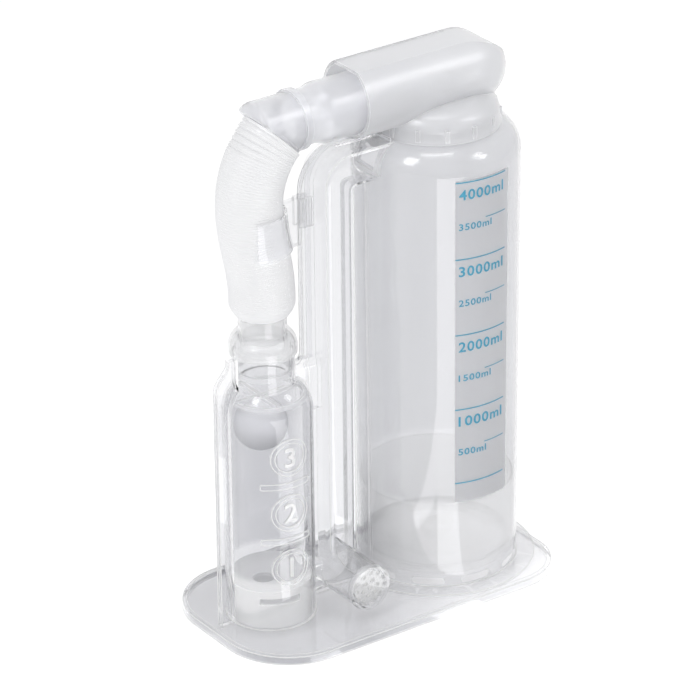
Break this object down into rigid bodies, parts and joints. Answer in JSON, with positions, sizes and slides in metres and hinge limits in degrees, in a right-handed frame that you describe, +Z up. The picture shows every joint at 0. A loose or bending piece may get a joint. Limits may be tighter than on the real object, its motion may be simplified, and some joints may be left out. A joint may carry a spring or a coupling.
{
  "type": "breathing trainer",
  "caption": "Hand-held breathing trainer with a clear flow chamber and ball, a tall volume cylinder with piston and ml scale, a pleated hose and a mouth tube parked in a holder on top.",
  "frame": {"origin": "middle of the foot plate, on the surface it stands on", "axes": "+Z up, -Y is the front with the volume scale, +X towards the volume cylinder"},
  "size_m": [0.1739, 0.0962, 0.2652],
  "materials": {
    "clear_body": "clear moulded styrene plastic, smooth and glossy",
    "milky_cylinder": "milky translucent plastic, glossy",
    "scale_film": "matt film with blue print",
    "soft_seal": "soft pale silicone",
    "white_translucent": "thin translucent white plastic",
    "white_ball": "satin white plastic",
    "frosted_insert": "frosted translucent plastic",
    "felt": "white felt",
    "white_hose": "flexible white plastic, finely pleated",
    "mouth_plastic": "pale translucent plastic",
    "clear_clip": "clear springy plastic"
  },
  "bodies": {
    "body": {"front_shell": "clear_body", "back_shell": "clear_body", "volume_cylinder": "milky_cylinder", "volume_scale": "scale_film", "cylinder_lid": "milky_cylinder", "port_seal": "soft_seal", "piston_rest": "clear_body", "ball_seat": "frosted_insert", "ball_stop": "frosted_insert", "inlet_grille": "frosted_insert", "inlet_filter": "felt", "hose_connector": "frosted_insert", "connector_seal": "soft_seal", "hose": "white_hose", "mouthpiece_holder": "mouth_plastic", "hose_clip": "clear_clip"},
    "piston": {"piston": "white_translucent"},
    "ball": {"flow_ball": "white_ball"},
    "mouth_tube": {"hose_elbow": "mouth_plastic", "elbow_collar": "mouth_plastic", "mouthpiece": "mouth_plastic"}
  },
  "joints": [
    {"name": "piston_rise", "type": "slide", "parent": "body", "child": "piston", "axis": [0, 0, 1], "range_m": [0, 0.158]},
    {"name": "ball_float", "type": "slide", "parent": "body", "child": "ball", "axis": [0, 0, 1], "range_m": [-0.0683, 0.0002]},
    {"name": "mouth_tube_draw", "type": "slide", "parent": "body", "child": "mouth_tube", "axis": [-1, 0, 0], "range_m": [0, 0.036], "deforming": ["hose"]}
  ]
}
